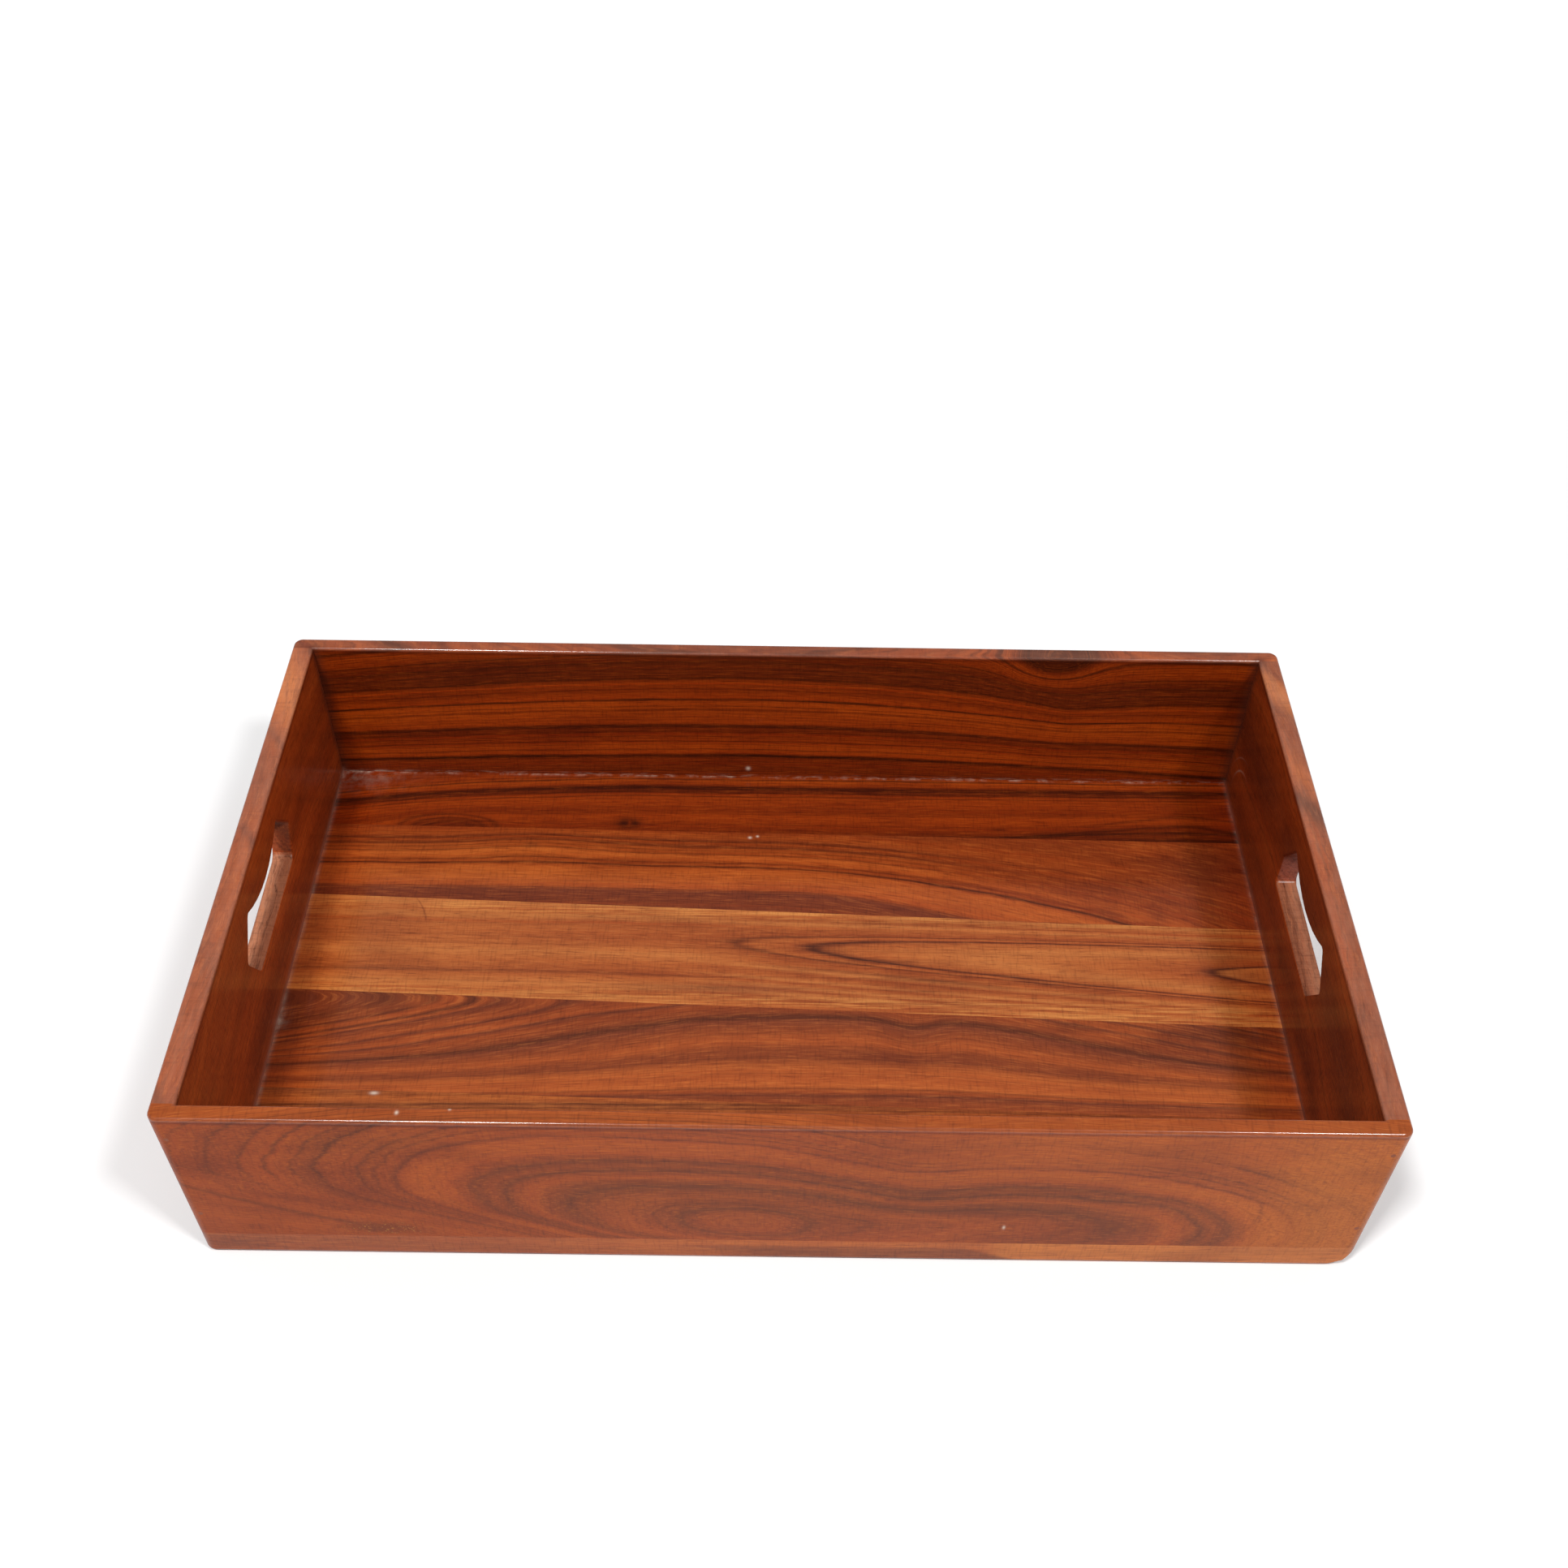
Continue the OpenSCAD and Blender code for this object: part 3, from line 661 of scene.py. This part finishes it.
def base_plank_2():
    """Bands that arch over the middle of the tray, with hooks at the left end."""
    board = Board("base_plank_2_wood", "x", 8.0)
    x, y = board.x, board.y
    sides = ease((x * -1) - 35, 25) * 0.22 + ease(x - 85, 25) * 0.24
    sweep = step(y, -88, -46)
    hook = (1 - step(x, -112, -60)) * ((y + 17) / 6).math("EXPONENT") * 7
    sag = bell(x, 64, 14) * 5.0 * step(y, -60, -40)
    ring = wavy(board, y + sides * sweep - hook + sag + (FLOOR_Z - board.z) * 0.5, 0.9, 50, 10)
    colour = board.ramp(ring, [
        (-90, BROWN), (-82, RUST), (-76, BROWN), (-73.5, PURPLE), (-71, RUST), (-67.5, ORANGE),
        (-62, AMBER), (-56, ORANGE), (-50, BROWN), (-46, BROWN), (-40, AMBER), (-32, BROWN),
        (-28, PURPLE), (-24.5, DARK), (-22, BROWN), (-17.5, RUST), (-14.5, PURPLE),
        (-12.5, AMBER), (-9.7, RUST), (-7.9, PURPLE), (-6, AMBER), (-2.3, BROWN), (-0.5, PURPLE),
        (0.8, AMBER), (2.1, DARK), (3.6, AMBER), (5, RUST), (6.3, DARK), (8, BROWN),
        (11, DARK), (16, PURPLE), (34, DARK),
    ])
    lines = board.lines(ring, [
        (-73.3, 0.8, 0.60), (-69.2, 0.7, 0.65), (-50.5, 0.8, 0.35), (-53.5, 0.4, 0.3),
        (-25.5, 1.5, 0.45), (-14.5, 0.7, 0.4), (-8.0, 0.6, 0.4), (-0.5, 0.6, 0.4),
        (2.1, 0.5, 0.4), (6.2, 0.7, 0.3), (-60.0, 0.4, 0.3), (-56.5, 0.4, 0.25),
        (-35.0, 0.5, 0.3), (-41.0, 0.5, 0.3), (-19.5, 0.4, 0.3),
    ])
    for centre, radii, strength, tone in (
        ((-242, -28), (26, 20), 0.45, DARK), ((220, -38), (42, 9), 0.5, DARK),
        ((141, -30), (11, 3.5), 0.6, DARK), ((200, -70), (30, 7), 0.35, ORANGE),
        ((205, -33), (32, 5), 0.45, DARK), ((-205, -27), (9, 6), 0.35, AMBER),
        ((-176, -21), (6, 5), 0.5, AMBER), ((158, -36), (16, 3), 0.4, AMBER),
    ):
        colour = board.blend(spot(x, y, centre, radii) * strength, colour, tone)
    colour = board.blend(0.22, colour, BRICK)
    return board.finish(colour, ring, lines * 0.50, 0.22, (0.95, 0.72, 0.46), haze=0.14)


def base_plank_1():
    """The front plank: its outer edge is the strip below the front board."""
    board = Board("base_plank_1_wood", "x", 9.0)
    x, y, z = board.x, board.y, board.z
    ring = wavy(board, y + (x / 240).square() * 4 + (FLOOR_Z - z) * 0.6, 1.4)
    colour = board.ramp(ring, [
        (-158, AMBER), (-150, ORANGE), (-143, AMBER), (-136, RUST), (-128, AMBER),
        (-118, BROWN), (-108, RUST), (-98, AMBER), (-90, AMBER), (-84, RUST), (-80, BROWN),
        (-76, AMBER), (-70, BROWN),
    ])
    lines = board.lines(ring, [
        (-79.5, 0.5, 0.5), (-82.0, 0.4, 0.4), (-90, 0.5, 0.3), (-112, 0.8, 0.4), (-130, 0.5, 0.3),
    ])
    # edge is 1 on the strip below the front board
    edge = 1 - step(y, FRONT_Y + 0.5, FRONT_Y + 3.0)
    colour = board.blend((1 - step(x, -60, 160)) * (1 - edge) * 0.06, colour, DUST)
    colour = board.blend(step(x, 20, 180) * (1 - edge) * 0.30, colour, BROWN)
    colour = board.blend(edge * step(x, 88, 100) * 0.75, colour, GOLD)
    colour = board.blend(edge * (1 - step(x, -160, -20)) * 0.65, colour, RUST)
    patch = (1 - step(x + (z - 8) * 2.5, 84, 92)) * step(x + z * 5, -22, 30) * (1 - step(z, 9, 12))
    colour = board.blend(edge * patch * 0.6, colour, PURPLE)
    colour = board.blend(edge * spot(x, z, (-236, 8), (14, 3)) * 0.5, colour, PURPLE)
    return board.finish(colour, ring, lines, 0.4, (0.97, 0.78, 0.42), coat=0.35,
                    specks=spot(x, y, (-190, -75.5), (1.8, 0.9)) * step(z, FLOOR_Z - 1, FLOOR_Z))


WOODS = {
    "front_board": front_board,
    "back_board": back_board,
    "left_board": left_board,
    "right_board": right_board,
    "base_plank_1": base_plank_1,
    "base_plank_2": base_plank_2,
    "base_plank_3": base_plank_3,
    "base_plank_4": base_plank_4,
    "base_plank_5": base_plank_5,
}


def filler_material():
    """Hand-pressed putty, a little mottled."""
    board = Board("wood_filler", "z", 20.0)
    mottle = board.noise((0.7, 0.7, 0.7), 2.0)
    colour = board.blend(mottle, PUTTY_LIGHT, PUTTY_DARK)
    shader = board.shader(colour, mottle * 0.3 + 0.35)
    shader.inputs["Specular IOR Level"].default_value = 0.1
    shader.inputs["Coat Weight"].default_value = 0.15
    shader.inputs["Coat Roughness"].default_value = 0.2
    return board.material


def steel_material():
    """Drawn steel, with fine lines along the shank."""
    board = Board("brad_steel", "z", 21.0)
    drawn = board.noise((4, 0.15, 0.15), 2.0)
    colour = board.blend(drawn, STEEL_DARK, STEEL_LIGHT)
    shader = board.shader(colour, drawn * 0.25 + 0.25)
    shader.inputs["Metallic"].default_value = 1.0
    return board.material


def dress(name, material):
    """Gives a CAD node its one material."""
    mesh = NODES[name].data
    mesh.materials.clear()
    mesh.materials.append(material)


for board_name, make in WOODS.items():
    dress(board_name, make())
filler, steel = filler_material(), steel_material()
for name in NODES:
    if name.endswith("fillers"):
        dress(name, filler)
    elif name.endswith("brads"):
        dress(name, steel)


# ---- Studio, in metres and watts ----

FLOOR_REACH = 6.0
FLOOR_GAP = 0.0002
FLOOR_WHITE = (0.90, 0.90, 0.90, 1.0)
SKY_WHITE = (1.0, 1.0, 1.0, 1.0)
SKY_STRENGTH = 0.35
TRAY_MIDDLE = (0, 0, 0.05)
KEY_SIZE = (0.3, 0.3)
CAMERA_PLACE = (-0.00155, -0.53903, 0.64625)
CAMERA_TURN = (40.548, -0.630, 0.469)
CAMERA_SENSOR = 36.0
CAMERA_LENS = 38.35
CAMERA_SHIFT = 0.1211


def make_floor():
    """A plain pale floor just below the tray."""
    mesh = bpy.data.meshes.new("studio_floor")
    square = [(-1, -1), (1, -1), (1, 1), (-1, 1)]
    corners = [(x * FLOOR_REACH, y * FLOOR_REACH, -FLOOR_GAP) for x, y in square]
    mesh.from_pydata(corners, [], [(0, 1, 2, 3)])
    floor = bpy.data.objects.new("studio_floor", mesh)
    bpy.context.scene.collection.objects.link(floor)
    material = bpy.data.materials.new("studio_floor")
    material.use_nodes = True
    shader = material.node_tree.nodes["Principled BSDF"]
    shader.inputs["Base Color"].default_value = FLOOR_WHITE
    shader.inputs["Roughness"].default_value = 0.6
    shader.inputs["Specular IOR Level"].default_value = 0.2
    mesh.materials.append(material)


def area_light(name, place, aim, size, power, spread=180, mirrored=True):
    """A soft panel of light. A panel that isn't mirrored leaves no highlight on the lacquer."""
    data = bpy.data.lights.new(name, "AREA")
    data.shape = "RECTANGLE"
    data.size, data.size_y = size
    data.energy = power
    data.spread = math.radians(spread)
    light = bpy.data.objects.new(name, data)
    bpy.context.scene.collection.objects.link(light)
    light.location = place
    light.visible_glossy = mirrored
    light.rotation_euler = (Vector(aim) - Vector(place)).to_track_quat("-Z", "Y").to_euler()


def make_lights():
    """Two keys in front, a broad panel behind the tray and one for the background."""
    world = bpy.data.worlds.new("studio")
    bpy.context.scene.world = world
    world.use_nodes = True
    back = world.node_tree.nodes["Background"]
    back.inputs["Color"].default_value = SKY_WHITE
    back.inputs["Strength"].default_value = SKY_STRENGTH
    area_light("left_key", (-0.56, -0.9, 2.1), TRAY_MIDDLE, KEY_SIZE, 31)
    area_light("right_key", (0.96, -0.9, 2.1), TRAY_MIDDLE, KEY_SIZE, 23)
    area_light("sweep", (0, 1.75, 1.9), TRAY_MIDDLE, (2.2, 1.2), 8, mirrored=False)
    area_light("background", (0, 1.9, 1.4), (0, 1.9, 0), (3.0, 1.2), 18, 100, False)


def make_camera():
    """The camera looks down on the tray's front, a little right of its middle."""
    data = bpy.data.cameras.new("camera")
    data.sensor_width = CAMERA_SENSOR
    data.lens = CAMERA_LENS
    data.shift_y = CAMERA_SHIFT
    data.clip_start, data.clip_end = 0.01, 50.0
    camera = bpy.data.objects.new("camera", data)
    bpy.context.scene.collection.objects.link(camera)
    camera.location = CAMERA_PLACE
    camera.rotation_euler = [math.radians(angle) for angle in CAMERA_TURN]
    bpy.context.scene.camera = camera


make_floor()
make_lights()
make_camera()
bpy.context.scene.view_settings.view_transform = "Standard"
